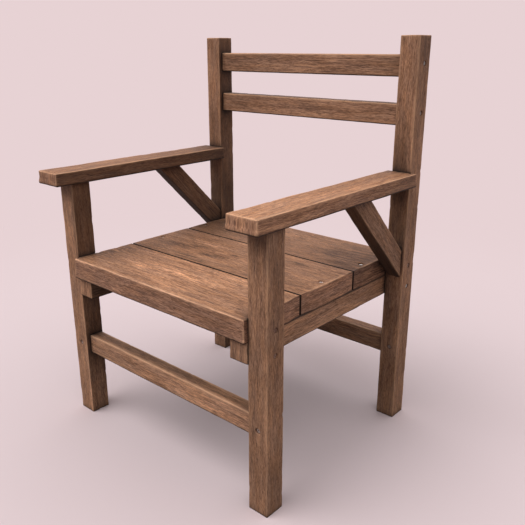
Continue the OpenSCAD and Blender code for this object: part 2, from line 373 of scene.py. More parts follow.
def corner_shade(points, normal):
    """Painted shade, 0 in the open and 1 deep in a corner: the sum over steps of
    weight * (1 - free distance / step), with the free distance measured at p + step * normal.
    The pale floor throws light back, so it counts as three times further off than it is."""
    total = np.zeros(len(points))
    for step, weight in ((4 * MM, 0.30), (14 * MM, 0.25), (45 * MM, 0.25), (120 * MM, 0.20)):
        there = points + step * normal
        free = np.minimum(step, np.maximum(3 * there[:, 2], 0))
        for member in sticks.values():
            free = np.minimum(free, np.maximum(box_distance(there, member), 0))
        total += weight * (1 - free / step)
    return np.clip(total, 0, 1)


print("open air:", corner_shade(np.array([[0, -1.0, 1.0]]), np.array([[0, 0, 1.0]])))

# %% [markdown]
# ## Make one stick
#
# Every stick is made lying along its own length and then turned into place. Its grain attribute
# keeps the unturned position, so the wood pattern runs along the stick whichever way it points.
# What the finish should know about the shape, such as where hands rub it, where dirt stays and where
# shade and highlights are painted, is stored on the points as well. Painting it by hand would do too,
# but a rule fits every stick.


# %% Mesh from arrays
def store(mesh, name, kind, values):
    """Writes one value or vector per point as a named attribute."""
    field = "value" if kind == "FLOAT" else "vector"
    flat_values = np.ascontiguousarray(values, np.float32).ravel()
    mesh.attributes.new(name, kind, "POINT").data.foreach_set(field, flat_values)


def make_object(name, points, quads, tris):
    """A closed mesh object from arrays. If its signed volume is negative, every face is turned."""
    split = np.concatenate([quads[:, [0, 1, 2]], quads[:, [0, 2, 3]], tris])
    a, b, c = points[split[:, 0]], points[split[:, 1]], points[split[:, 2]]
    if np.einsum("ij,ij->i", a, np.cross(b, c)).sum() < 0:
        quads, tris = quads[:, ::-1], tris[:, ::-1]
    mesh = bpy.data.meshes.new(name)
    mesh.vertices.add(len(points))
    mesh.vertices.foreach_set("co", points.astype(np.float32).ravel())
    corners = np.concatenate([quads.ravel(), tris.ravel()]).astype(np.int32)
    mesh.loops.add(len(corners))
    mesh.loops.foreach_set("vertex_index", corners)
    starts = np.concatenate([np.arange(len(quads)) * 4, 4 * len(quads) + np.arange(len(tris)) * 3])
    mesh.polygons.add(len(starts))
    mesh.polygons.foreach_set("loop_start", starts.astype(np.int32))
    mesh.update(calc_edges=True)
    mesh.polygons.foreach_set("use_smooth", np.ones(len(starts), bool))
    obj = bpy.data.objects.new(name, mesh)
    bpy.context.collection.objects.link(obj)
    return obj


def count_triangles(pieces):
    """Triangles in some pieces. A face with n corners is n - 2 triangles."""
    return sum(len(piece.data.loops) - 2 * len(piece.data.polygons) for piece in pieces)


print("stored on every stick: grain, wear, grime, inner, upward, stain and tone")


# %% Recesses and chips
RECESS_RADIUS = 6.0 * MM


def recesses_in(member):
    """Screw heads that lie just under one of this stick's faces, in the stick's own directions."""
    found = []
    for places in heads.values():
        for place, facing in places:
            at = member["turn"] @ (np.array(place) - member["centre"])
            face = member["turn"] @ np.array(facing, float)
            hit = int(np.argmax(np.abs(face)))
            across = [k for k in range(3) if k != hit]
            depth = member["half"][hit] - at[hit] * np.sign(face[hit])
            if np.all(np.abs(at[across]) < member["half"][across]) and 0 < depth < 4 * MM:
                found.append((at, face, across))
    return found


def carved(points, normal, depth, node, found):
    """Depths with a recess round each screw head, and how dark the recess is painted, with painted
    shade and dirt. With far the distance from the screw's axis, pit goes from 1 inside the recess to 0
    at its rim, the depth blends to the recess's floor by pit, and a dish of
    exp(-0.4 (far / radius)^4) eases the rim."""
    rim = (7.4 if "seat" in node else 6.1) * MM
    inside, floor_depth, dish, shade_and_dirt_radius = 5.3 * MM, 2.4 * MM, 0.35 * MM, 6.9 * MM
    dark = np.zeros(len(points))
    for at, face, across in found:
        # Painted shade and dirt in the recess, weaker on the seat and on the sides of the legs
        dirt = 0.35 if "seat" in node else 0.65 if "leg" in node and 2 in across else 1.0
        far = np.linalg.norm(points[:, across] - at[across], axis=1)
        facing = (normal @ face) > 0.8
        pit = 1.0 - smooth_step(inside, rim, far)
        eased = dish * np.exp(-((far / RECESS_RADIUS) ** 4) * 0.4)
        depth = np.where(facing, depth * (1 - pit) + floor_depth * pit + eased, depth)
        shade_and_dirt_edge = np.exp(-((far / shade_and_dirt_radius) ** 8))
        dark = np.maximum(dark, dirt * facing * (0.3 + 0.35 * pit) * shade_and_dirt_edge)
    return depth, dark


def chipped(sharp, depth, node):
    """Depths with deep * exp(-(distance / radius)^2) added round each chip's place."""
    for u, v, w, radius, deep in chips.get(node, ()):
        gap = np.linalg.norm(sharp / MM - np.array([u, v, w]), axis=1)
        depth = depth + deep * MM * np.exp(-((gap / radius) ** 2))
    return depth


print("recesses in all the timber:", sum(len(recesses_in(member)) for member in sticks.values()))


# %% Rubbed places with painted highlights, dirt with painted shade, and stains
def blotches(points, spots):
    """Sum of gain * exp(-(du / long)^2 - (dv / wide)^2) over spots placed along and across a stick
    from its middle, in millimetres."""
    total = np.zeros(len(points))
    for u, v, long, wide, gain in spots:
        du, dv = (points[:, 0] / MM - u) / long, (points[:, 1] / MM - v) / wide
        total += gain * np.exp(-du * du - dv * dv)
    return total


def rubbed(points, outward, near, arris, above, seed, node):
    """How far the wood is worn through by rubbing, which also paints a highlight on the arrises: on
    the arrises most, in patches, and on faces that look up and forward, roughly towards the key lamp,
    more than on others. It fades to a fifth over the lowest few millimetres."""
    # Faces turned roughly towards the key lamp get more, as a painted highlight
    toward_key_lamp = np.clip(outward @ np.array([-0.15, -0.5, 0.85]), 0.0, 1.0)
    patch = 0.5 + 0.5 * lattice_noise(points, (60, 30, 30), seed + 7)
    wear = (0.25 * near * patch**2 + arris * (0.7 + 0.9 * patch)) * (0.3 + 0.7 * toward_key_lamp)
    return wear * (1 - 0.8 * np.exp(-((above / 3.5) ** 2))) * rub_and_highlight_gain.get(node, 1.0)


def painted_shade_and_dirt(placed, outward, pits, seam_shade, above, node):
    """How dark painted shade and dirt make the wood: the strongest of the recesses (painted shade and
    dirt), the lines where timbers meet (painted contact shade and dirt), painted shade along the lower
    edge, and painted shade in the corners and in the crisp seams between boards."""
    # Painted shade: a dark line along the lower edge of each face
    lower_edge_shade = (0.25 if "brace" in node else 0.8) * np.exp(-((above / 1.7) ** 2))
    shaded_lines = np.maximum(joint_shade_and_dirt(placed, node), lower_edge_shade)
    shade_and_grime = np.maximum(np.maximum(pits, shaded_lines), corner_shade(placed, outward) + 0.85 * seam_shade**1.5)
    if node == "back_slat_lower":
        # Its top face is made darker, where the upper slat is close above it
        shade_and_grime = np.maximum(shade_and_grime, 0.6 * np.clip(outward[:, 2], 0, 1))
    return shade_and_grime


print("a spot of gain 1 gives", blotches(np.zeros((1, 3)), [(0, 0, 9, 9, 1.0)])[0], "at its middle")


# %% Build one stick
def worn_stick(node, seed, style, step=5.0, end_grain="w", spots=()):
    """A worn stick for one node. spots are streaky stained or rubbed places on it, some of them
    painted shade, while those in tone_and_shade_spots are even."""
    member = sticks[node]
    half = member["half"]
    found = recesses_in(member)
    screws_at = [[at[k] for at, _, across in found if k in across] for k in range(3)]
    grid = box_grid(half, step * MM, screws_at, touching(node))
    rows, columns = grid.shape[:2]
    sharp = np.concatenate([grid.reshape(-1, 3), [[-half[0], 0, 0], [half[0], 0, 0]]])
    points, normal, depth, near, edge, sharpness = worn_surface(sharp, half, seed, style)
    # The band along a crisp side is later painted as shade in the gap between boards
    arris, seam_shade = edge * (1 - sharpness), edge * sharpness
    depth, pits = carved(points, normal, chipped(sharp, depth, node), node, found)
    upright = member["turn"][0][2] == 1
    if upright:
        # The lower end stays flat on the floor
        depth = np.where(normal[:, 0] < -0.9, 0.0, depth)
    points = points - normal * depth[:, None]
    laid = points.copy()
    share = (points[:, 0] + half[0]) / (2 * half[0])
    points[:, 0] += ((1 - share) * member["shear"][0] + share * member["shear"][1]) * points[:, 2]
    placed = points @ member["turn"] + member["centre"]
    outward = normal @ member["turn"]
    obj = make_object("worn_" + node, placed, *closed_faces(rows, columns))

    # Each stick reads its own part of the wood pattern, and its cut ends read it across the grain
    ends = np.abs(normal[:, :1]) > 0.75
    order = [2, 1, 0] if end_grain == "w" else [1, 2, 0]
    grain = np.where(ends, points[:, order] + 0.7, points)
    own_part = np.array([seed * 1.37, seed * 0.413, seed * 0.291]) % 7.0
    store(obj.data, "grain", "FLOAT_VECTOR", grain + own_part)

    # Height above the underside, or above the foot of an upright
    down = 0 if upright else 2
    above = (sharp[:, down] + half[down]) / MM
    to_middle = -np.sign(placed[:, 0]) * outward[:, 0]
    # The wear mark also paints highlights on the arrises, the grime mark paints shade as well as dirt, and
    # the stain and tone marks paint shade in some places as well as real stains and tones
    marks = {
        "wear": np.clip(rubbed(points, outward, near, arris, above, seed, node), 0, 1),
        "shade_and_grime": np.clip(painted_shade_and_dirt(placed, outward, pits, seam_shade, above, node), 0, 1),
        # inner is painted shade: darker faces that look to the chair's middle, and darker undersides
        "inner": np.clip(np.maximum(to_middle, -2.15 * outward[:, 2]), 0, 1.8),
        "upward": np.clip(outward[:, 2], 0, 1),
        "stain": blotches(laid, spots),
        "tone": 1.0 + tones_and_shade.get(node, 0.0) + blotches(laid, tone_and_shade_spots.get(node, ())),
    }
    for name, values in marks.items():
        store(obj.data, name, "FLOAT", values)
    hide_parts(node)
    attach(obj, "root")
    print(obj.name, rows, "x", columns, "points,", len(found), "recesses")
    return obj


# %% [markdown]
# ## The frame: legs, posts, rails, stretchers, slats and braces
#
# These are sawn square and only eased by wear, so their rounding is small. A style lists the edge
# radius, the depth of the slow waves, the depth of edge wear, the depth of chips (all in
# millimetres), how crisp the two v sides stay, and how far the underside is spared edge wear.
#
# Rules alone would make every stick equally old. Real ones differ: one was cut from paler wood, and
# another was kicked more often. So four short lists come on top of the rules. Two of them, the tones
# and the even places, also paint shade where the seat, the armrests and the back posts keep light off,
# and the list of rubbed arrises also paints highlights.

# %% What is special about single sticks
# Paler (above 0) or darker (below 0) as a whole. The seat boards darken towards the back, which is
# painted shade.
tones_and_shade = {"front_stretcher": 0.38, "rear_stretcher": 0.1, "front_leg_left": 0.19,
         "seat_board_front": -0.02, "seat_board_middle": -0.12, "seat_board_rear": -0.34,
         "armrest_left": -0.30, "armrest_right": -0.04}
# Even paler or darker places: along and across from the middle, half length, half width and gain.
# Some are painted shade, such as on the front stretcher's top under the seat and on the back posts
# between seat and armrests. A half size of WHOLE covers the stick from end to end.
WHOLE = 5000
tone_and_shade_spots = {
    "front_stretcher": [(0, -5, WHOLE, 9, -0.64), (0, 10, WHOLE, 10, -0.62), (180, -24, 100, 16, 0.38),
                        (-150, -24, 150, 16, -0.24)],
    "front_leg_left": [(-250, 24, 90, 9, 0.70), (220, 24, 110, 9, -0.48), (220, -5, 110, 14, 0.10),
                       (-230, 0, 80, 100, 0.06)],
    "front_leg_right": [(-220, -8, 90, 20, 0.08), (60, -4, 90, 22, -0.10), (120, 24, 200, 8, 0.04)],
    "back_slat_upper": [(130, 0, 130, 100, 0.10), (-230, 0, 100, 100, -0.28), (-40, 0, 50, 100, 0.03),
                        (270, 0, 35, 100, -0.16)],
    "back_slat_lower": [(-240, 0, 80, 100, -0.26), (0, 0, 130, 100, 0.16)],
    "back_post_left": [(40, 0, 80, 100, -0.42), (225, 0, 100, 100, -0.20), (360, 0, 160, 100, 0.16)],
    "back_post_right": [(40, 0, 100, 100, -0.26), (170, 0, 110, 100, -0.42), (400, -6, 90, 18, 0.08),
                        (190, 23, 110, 10, 0.66), (-100, 23, 110, 10, 0.18), (-400, 23, 120, 10, -0.12),
                        (450, 23, 60, 10, -0.25)],
    "side_rail_right": [(0, -22, WHOLE, 8, 0.14)],
    "seat_board_front": [(-230, 0, 110, 200, -0.10), (-160, -84, 130, 6, 0.12), (110, -84, 130, 6, -0.26)],
    "seat_board_middle": [(-230, 0, 90, 200, -0.12), (240, 0, 70, 200, -0.07), (278, 0, 7, 200, 0.26)],
    "seat_board_rear": [(-230, 0, 90, 200, -0.12), (278, 0, 7, 200, 0.16)],
    "armrest_left": [(250, 0, 110, 100, -0.30), (50, 0, 170, 100, -0.05)],
    "armrest_right": [(250, 0, 110, 100, -0.26), (0, -37, WHOLE, 7, -0.10), (-80, 0, 100, 60, 0.1),
                      (-110, -37, 60, 7, 0.18), (220, -37, 90, 7, -0.08)],
    "arm_brace_left": [(0, 0, WHOLE, WHOLE, -0.22)],
    "arm_brace_right": [(0, 0, WHOLE, WHOLE, -0.10)],
}
# Chips (above 0) and splinters (below 0): a place from the middle, a radius and a depth
chips = {
    "seat_board_front": [(277, -84, 9, 5, 2.2), (277, -84, -5, 4, -1.2), (277, -84, -14, 5, 2.4),
                         (277, -84, 23, 5, 1.6), (60, -84, 23, 9, 1.2), (-90, -84, 23, 12, 1.0),
                         (277, -60, 23, 6, 1.5)],
    "armrest_left": [(-269, 4, 13.5, 11, 2.6), (-269, -22, 13.5, 8, 1.2)],
    "armrest_right": [(-269, 12, 13.5, 6, 1.5), (-269, -14, 13.5, 5, 1.3), (-269, -36, 13.5, 6, 2.2),
                      (-120, -36, 13.5, 14, 1.6), (10, -36, 13.5, 18, 1.5), (120, -36, 13.5, 10, 1.6)],
}
# How much more than usual the arrises are rubbed, which also strengthens their painted highlight
rub_and_highlight_gain = {"front_stretcher": 1.8, "arm_brace_left": 1.6, "arm_brace_right": 1.6,
        "back_slat_upper": 1.8, "back_slat_lower": 1.8}
print(len(set(tones_and_shade) | set(tone_and_shade_spots)), "sticks have a tone or shade of their own")

# %% Frame timbers
upright_style = (0.95, 0.4, 0.7, 1.1, (0, 0), 0.0)
level_style = (0.9, 0.35, 0.7, 1.1, (0, 0), 0.3)
uprights, levels = [], []
for seed, node in enumerate(sorted(sticks), start=3):
    if node.startswith("back_post"):
        uprights.append(worn_stick(node, seed, upright_style, step=6.5))
    elif node.startswith("front_leg"):
        uprights.append(worn_stick(node, seed, upright_style, step=5.5))
    elif not node.startswith(("seat_board", "armrest")):
        levels.append(worn_stick(node, seed, level_style))
print(len(uprights), "uprights and", len(levels), "level timbers")

# %% [markdown]
# ## Seat boards and armrests
#
# These are the parts that people touch, so they are rubbed rounder than the frame. The front
# board's open edge is the roundest, and edges that face each other over a narrow gap stay crisp.

# %% Boards and armrests
board_crispness = {"front": (0, 1), "middle": (1, 1), "rear": (1, 0)}
# Rubbed (above 0) and stained (below 0) places on each board, listed as in tone_and_shade_spots.
# The dark places at the rear board's ends are painted shade near the back posts.
board_spots = {
    "front": [(10, 9, 80, 13, 0.46), (-110, -11, 65, 13, 0.34), (120, 66, 60, 12, 0.36),
              (40, 1, 210, 70, 0.12), (-250, 36, 50, 60, -0.3)],
    "middle": [(-124, -5, 30, 8, -0.6), (-37, -34, 42, 14, -0.6), (-77, -77, 50, 10, -0.5),
               (150, 55, 24, 10, -0.45), (-177, -24, 34, 12, -0.4), (3, 0, 20, 12, -0.4),
               (-124, 31, 70, 12, 0.48), (220, 32, 60, 20, 0.1)],
    "rear": [(20, 50, 110, 28, 0.15), (230, -15, 75, 70, -0.4), (-210, -10, 70, 60, -0.25)],
}
arm_spots = [(-272, 0, 14, 60, 0.08)]
arm_style = (1.4, 0.5, 1.2, 1.6, (0, 0), 0.8)
boards, armrests = [], []
for seed, (board, crisp) in enumerate(board_crispness.items(), start=53):
    style = (1.8, 0.5, 1.3, 2.2, crisp, 0.9) if board == "front" else (1.5, 0.45, 0.9, 1.5, crisp, 0.5)
    boards.append(worn_stick("seat_board_" + board, seed, style, step=5.5, end_grain="v",
                             spots=board_spots[board]))
for seed, side in enumerate(("left", "right"), start=63):
    armrests.append(worn_stick("armrest_" + side, seed, arm_style, step=4.5, spots=arm_spots))
timbers = uprights + levels + boards + armrests
print("triangles in all timber:", count_triangles(timbers))

# %% [markdown]
# ## Slotted screws
#
# A turned screw is a profile spun round an axis: a low dome, a thin rim, a cone and a shank. The
# slot is pressed into that same surface. Inside the slot, every point above the slot's floor is
# brought down to it, and drawn in to the cone's radius there, so no face folds over another.


# %% One screw as a spun profile
def screw_shape(length):
    """Points at (r cos a, r sin a, z), in millimetres until the end, with r and z from a profile.
    Where |r sin a| is under half the slot's width, z drops to the slot's floor and r to the cone's
    radius at that height."""
    head, shank, rim, floor, point, turns = HEAD_RADIUS / MM, 2.5, 0.6, -1.15, 7, 48
    cone_end = -rim - (head - shank)
    top_r = np.linspace(0.25, head - 0.35, 12)
    top_z = -0.35 * (top_r / head) ** 2
    profile_r = np.concatenate([top_r, [head - 0.12, head, head, shank, shank, 0.12]])
    profile_z = np.concatenate([top_z, [-0.4, -0.5, -rim, cone_end, point - length, -length]])
    angle = np.linspace(0, 2 * np.pi, turns, endpoint=False)
    r = np.repeat(profile_r[:, None], turns, 1)
    z = np.repeat(profile_z[:, None], turns, 1)
    y = r * np.sin(angle)[None, :]
    cut = (1 - smooth_step(0.5, 0.72, np.abs(y))) * (z > floor)
    z = z + cut * (floor - z)
    cone_r = head + floor + rim
    r = r + cut * (np.minimum(r, cone_r) - r)
    points = np.stack([r * np.cos(angle)[None, :], r * np.sin(angle)[None, :], z], -1)
    slot = np.concatenate([cut.ravel(), [1.0, 0.0]])
    poles = np.array([[0, 0, floor], [0, 0, -length]])
    return np.concatenate([points.reshape(-1, 3), poles]) * MM, slot, points.shape[:2]


print("one screw has", len(screw_shape(80)[0]), "points")


# %% Place the screws of each group
def screw_group(name, node, places, length, seed, tarnish):
    """One object holding a screw at every place, each slot left at its own angle. tarnish goes
    from 0 for bright steel to 1 for brown, and each screw differs from it a little."""
    rng = np.random.default_rng(seed)
    shape, slot, (rows, columns) = screw_shape(length)
    quads, tris = closed_faces(rows, columns)
    points, cuts, browns, all_quads, all_tris = [], [], [], [], []
    for number, (place, facing) in enumerate(places):
        facing = np.array(facing, float)
        turn = rng.uniform(0, np.pi)
        side = np.cross(facing, [0.3, 0.5, 0.81])
        side /= np.linalg.norm(side)
        across = np.cross(facing, side)
        spin = np.stack([math.cos(turn) * side + math.sin(turn) * across,
                         -math.sin(turn) * side + math.cos(turn) * across, facing])
        points.append(shape @ spin + np.array(place))
        cuts.append(slot)
        brown = tarnish[number % len(tarnish)] + rng.uniform(-0.05, 0.05)
        browns.append(np.full(len(shape), np.clip(brown, 0, 1)))
        all_quads.append(quads + number * len(shape))
        all_tris.append(tris + number * len(shape))
    obj = make_object(name, np.concatenate(points), np.concatenate(all_quads), np.concatenate(all_tris))
    store(obj.data, "slot", "FLOAT", np.concatenate(cuts))
    store(obj.data, "tarnish", "FLOAT", np.concatenate(browns))
    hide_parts(node)
    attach(obj, "root")
    print(name, len(places), "screws")
    return obj


# The lengths in millimetres. The tarnish of a group repeats from its first screw on.
screw_lengths = {"side_screws": 80, "slat_screws": 80, "seat_screws": 70,
                 "stretcher_screws": 36, "arm_screws": 80, "brace_screws": 80}
tarnish = {"side_screws": (1.0, 1.0, 0.4, 0.85), "slat_screws": (0.8, 0.4),
           "seat_screws": (0.6, 0.6, 0.3, 0.0), "stretcher_screws": (0.8, 0.85),
           "arm_screws": (0.8,), "brace_screws": (0.7,)}
screws = []
for seed, (group, places) in enumerate(heads.items(), start=101):
    screws.append(screw_group("worn_" + group, group, places, screw_lengths[group], seed, tarnish[group]))
print("triangles in all:", count_triangles(timbers + screws))

# %% [markdown]
# ## A finish for old wood
#
# Real grain is fibres of many widths, all drawn out along the stick. One noise texture, read through
# a Mapping node that squeezes it along the length, gives one width of fibre. Several together give
# wood. The wear and dirt attributes, which also carry painted highlights and painted shade, were
# worked out with the shape, so rubbed edges and dark recesses line up with it. An image of wood
# would show the same knots on every stick.


# %% Short ways to add nodes
def new_finish(name):
    """A material with an empty node tree, and that tree."""
    finish = bpy.data.materials.new(name)
    finish.use_nodes = True
    finish.node_tree.nodes.clear()
    return finish, finish.node_tree


def add(tree, kind, settings=None, **values):
    """One shader node. Settings are its own options, and each value sets or links an input, which
    is named by its label, or as i0, i1 and so on by its place."""
    made = tree.nodes.new(kind)
    for key, value in (settings or {}).items():
        setattr(made, key, value)
    for key, value in values.items():
        by_place = key[0] == "i" and key[1:].isdigit()
        socket = made.inputs[int(key[1:]) if by_place else key.replace("_", " ")]
        if isinstance(value, bpy.types.NodeSocket):
            tree.links.new(value, socket)
        else:
            socket.default_value = value
    return made


def stored(tree, name, output="Fac"):
    """What was stored on the points under a name."""
    return add(tree, "ShaderNodeAttribute", {"attribute_name": name}).outputs[output]


def math_node(tree, operation, a, b, c=None):
    """One Math node and its output."""
    values = {"i0": a, "i1": b}
    if c is not None:
        values["i2"] = c
    return add(tree, "ShaderNodeMath", {"operation": operation}, **values).outputs[0]


def mix_colour(tree, factor, a, b, mode="MIX"):
    """One colour Mix node and its output."""
    return add(tree, "ShaderNodeMix", {"data_type": "RGBA", "blend_type": mode, "clamp_factor": True},
               i0=factor, i6=a, i7=b).outputs[2]


def tinted(tree, colour, tint):
    """A colour multiplied by another."""
    return mix_colour(tree, 1.0, colour, tint, "MULTIPLY")


def ramp(tree, value, stops):
    """A Color Ramp over value, with (place, colour) stops."""
    made = add(tree, "ShaderNodeValToRGB", Fac=value)
    elements = made.color_ramp.elements
    while len(elements) < len(stops):
        elements.new(0.5)
    for element, (place, colour) in zip(elements, stops):
        element.position = place
        element.color = (*colour, 1.0)
    return made.outputs["Color"]


def window(tree, value, low, high, to_low=0.0, to_high=1.0):
    """A smooth Map Range node and its output."""
    return add(tree, "ShaderNodeMapRange", {"interpolation_type": "SMOOTHSTEP"}, Value=value, From_Min=low,
               From_Max=high, To_Min=to_low, To_Max=to_high).outputs[0]


def grey(tree, value):
    """A grey colour from one value."""
    return add(tree, "ShaderNodeCombineColor", Red=value, Green=value, Blue=value).outputs[0]


print("node helpers ready")


# %% The timber finish
WHITE = (1.0, 1.0, 1.0, 1.0)
# The colour of dirt and of painted shade in corners, seams, recesses and undersides
SHADE_AND_DIRT = (0.022, 0.016, 0.014, 1.0)


def timber(name, deep, body, pale, bare_and_highlight, contrast, stain, drawn, side_shade_tint=WHITE):
    """Wood from fibres of four widths, broad clouds, stains, drying cracks, rubbed edges with a painted
    highlight, and dirt with painted shade. deep, body and pale are the colours of the grain, and
    bare_and_highlight is rubbed wood and the painted highlight. drawn stretches the pattern along the
    stick, and side_shade_tint is painted shade that colours every face but an upper one."""
    finish, tree = new_finish(name)
    grain = stored(tree, "grain", "Vector")
    wear, shade_and_grime, inner = stored(tree, "wear"), stored(tree, "shade_and_grime"), stored(tree, "inner")
    upward, stain_and_shade_map, piece_tone_and_shade = stored(tree, "upward"), stored(tree, "stain"), stored(tree, "tone")

    # A slow noise bends the fibres a little
    bend = add(tree, "ShaderNodeTexNoise", Vector=grain, Scale=5.5, Detail=2.0).outputs["Color"]
    bend = add(tree, "ShaderNodeVectorMath", {"operation": "MULTIPLY_ADD"}, i0=bend, i1=(0.0, 0.011, 0.011),
               i2=grain).outputs[0]

    def fibre(length, width, detail, roughness=0.55):
        """Noise drawn out to fibres of one length and width in millimetres."""
        squeezed = add(tree, "ShaderNodeMapping", {"vector_type": "POINT"}, Vector=bend,
                       Scale=(1000 / (length * drawn), 1000 / width, 1000 / width)).outputs[0]
        return add(tree, "ShaderNodeTexNoise", Vector=squeezed, Scale=1.0, Detail=detail,
                   Roughness=roughness).outputs["Fac"]

    # Four widths of fibre make the grain, from dark to pale
    speck = fibre(9, 1.0, 2.0, 0.6)
    fine = fibre(24, 1.4, 3.0, 0.65)
    thread = fibre(48, 3.2, 4.0, 0.65)
    band = fibre(110, 11, 4.0, 0.65)
    cloud = fibre(170, 60, 4.0, 0.6)
    total = math_node(tree, "MULTIPLY", speck, 0.30)
    total = math_node(tree, "MULTIPLY_ADD", fine, 0.30, total)
    total = math_node(tree, "MULTIPLY_ADD", thread, 0.21, total)
    total = math_node(tree, "MULTIPLY_ADD", band, 0.19, total)
    reach = 0.105 / contrast
    tone = window(tree, total, 0.5 - reach, 0.5 + reach)
    colour = ramp(tree, tone, [(0.0, deep), (0.5, body), (1.0, pale)])

    # Cooler and warmer streaks, broad clouds, the tone of the piece and its streaky spots, which in
    # some places are painted shade
    warmth = window(tree, fibre(70, 14, 3.0), 0.36, 0.64)
    colour = tinted(tree, colour, ramp(tree, warmth, [(0.0, (0.97, 1.0, 1.04)), (1.0, (1.03, 1.0, 0.94))]))
    broken = window(tree, fibre(42, 3.4, 3.0, 0.65), 0.42, 0.58, 0.0, 2.0)
    spot = math_node(tree, "MULTIPLY", stain_and_shade_map, broken)
    shade = math_node(tree, "MULTIPLY_ADD", window(tree, cloud, 0.3, 0.7, 0.80, 1.18), piece_tone_and_shade, spot)
    shade = math_node(tree, "MAXIMUM", shade, 0.3)
    colour = tinted(tree, colour, grey(tree, shade))

    # Dark streaks and fine cracks
    streak = window(tree, fibre(60, 8, 5.0, 0.6), 0.56, 0.68)
    colour = mix_colour(tree, math_node(tree, "MULTIPLY", streak, stain), colour, (*deep, 1.0))
    crack = window(tree, fibre(14, 1.3, 2.0, 0.5), 0.60, 0.70)
    colour = mix_colour(tree, math_node(tree, "MULTIPLY", crack, 0.6), colour,
                        tuple(0.4 * c for c in deep) + (1.0,))
    # Faces that do not look up take side_shade_tint, a cooler painted shade colour
    colour = tinted(tree, colour, mix_colour(tree, upward, side_shade_tint, WHITE))

    # Rubbed edges with a painted highlight, painted shade on faces towards the chair's middle and on
    # undersides, and dirt with painted shade in corners, seams and recesses
    rub_and_highlight = math_node(tree, "MULTIPLY", wear, window(tree, thread, 0.3, 0.6, 0.45, 1.0))
    colour = mix_colour(tree, rub_and_highlight, colour, (*bare_and_highlight, 1.0))
    colour = tinted(tree, colour, grey(tree, math_node(tree, "MULTIPLY_ADD", inner, -0.46, 1.0)))
    corner = math_node(tree, "MULTIPLY", window(tree, shade_and_grime, 0.02, 0.9), 0.93)
    colour = mix_colour(tree, corner, colour, SHADE_AND_DIRT)

    # Fibres stand up a little, and cracks go in
    roughness = window(tree, fine, 0.3, 0.7, 0.5, 0.74)
    height = math_node(tree, "MULTIPLY_ADD", thread, 0.7, math_node(tree, "MULTIPLY", fine, 0.5))
    height = math_node(tree, "MULTIPLY_ADD", crack, -0.9, height)
    bump = add(tree, "ShaderNodeBump", Strength=0.8, Distance=0.0009, Height=height).outputs[0]
    shader = add(tree, "ShaderNodeBsdfPrincipled", Base_Color=colour, Roughness=roughness, Normal=bump)
    shader.inputs["Specular IOR Level"].default_value = 0.2
    add(tree, "ShaderNodeOutputMaterial", Surface=shader.outputs[0])
    return finish


# The deep, body, pale and bare colours of the sawn frame; the bare colour is also the painted
# highlight
sawn = ((0.145, 0.072, 0.045), (0.365, 0.185, 0.110), (0.590, 0.315, 0.190), (0.76, 0.43, 0.26))
upright_wood = timber("upright_timber", *sawn, contrast=0.74, stain=0.3, drawn=0.9)
level_wood = timber("level_timber", *sawn, contrast=0.95, stain=0.25, drawn=1.5)
seat_wood = timber("seat_timber", (0.165, 0.080, 0.047), (0.405, 0.198, 0.110), (0.630, 0.326, 0.184),
                   (0.97, 0.54, 0.33), contrast=1.1, stain=0.5, drawn=1.25, side_shade_tint=(0.99, 1.0, 1.11, 1.0))
arm_wood = timber("arm_timber", (0.205, 0.098, 0.056), (0.425, 0.205, 0.111), (0.620, 0.320, 0.176),
                  (0.90, 0.50, 0.30), contrast=1.15, stain=0.4, drawn=1.3, side_shade_tint=(0.97, 0.98, 1.07, 1.0))
for finish, pieces, slot_name in (
        (upright_wood, uprights, "frame_timber"), (level_wood, levels, "frame_timber"),
        (seat_wood, boards, "seat_timber"), (arm_wood, armrests, "seat_timber")):
    for piece in pieces:
        piece.data.materials.append(finish)
    print(finish.name, "on", len(pieces), "pieces")

# %% [markdown]
# ## Dull steel and a plain dowel
#
# The screws are old zinc-plated steel: grey, a little blotched, darker in the slot. Damp has turned
# some of them brown, and others are still bright, so one finish goes from the one to the other by
# the tarnish that is stored on each screw. The dowels are hidden inside the joints, but they still
# get plain light wood.


# %% Steel finish
def dull_steel(name):
    """Blotched steel that goes from clean grey to brown with tarnish. The slot is darkest on
    half-tarnished screws, and less dark on bright and on brown ones."""
    finish, tree = new_finish(name)
    where = add(tree, "ShaderNodeTexCoord").outputs["Object"]
    blotch = add(tree, "ShaderNodeTexNoise", Vector=where, Scale=420.0, Detail=4.0).outputs["Fac"]
    slot, tarnish = stored(tree, "slot"), stored(tree, "tarnish")
    clean = ramp(tree, blotch, [(0.3, (0.80, 0.79, 0.79)), (0.55, (0.92, 0.91, 0.92)),
                                (0.8, (0.97, 0.97, 0.98))])
    brown = ramp(tree, blotch, [(0.3, (0.24, 0.125, 0.085)), (0.6, (0.32, 0.175, 0.125)),
                                (0.8, (0.38, 0.23, 0.17))])
    colour = mix_colour(tree, tarnish, clean, brown)
    slot_darkness = math_node(tree, "MINIMUM", window(tree, tarnish, 0.0, 0.3, 0.05, 0.6),
                       window(tree, tarnish, 0.5, 1.0, 0.65, 0.35))
    colour = mix_colour(tree, math_node(tree, "MULTIPLY", slot, slot_darkness), colour, (0.04, 0.03, 0.027, 1.0))
    rough = math_node(tree, "MULTIPLY_ADD", tarnish, 0.3, window(tree, blotch, 0.3, 0.7, 0.28, 0.45))
    metal = window(tree, tarnish, 0.0, 0.9, 0.15, 0.05)
    bump = add(tree, "ShaderNodeBump", Strength=0.3, Distance=0.0002, Height=blotch).outputs[0]
    shader = add(tree, "ShaderNodeBsdfPrincipled", Base_Color=colour, Roughness=rough, Metallic=metal,
                 Normal=bump)
    add(tree, "ShaderNodeOutputMaterial", Surface=shader.outputs[0])
    return finish


steel = dull_steel("screw_steel")
for group in screws:
    group.data.materials.append(steel)
print("steel on", len(screws), "groups")


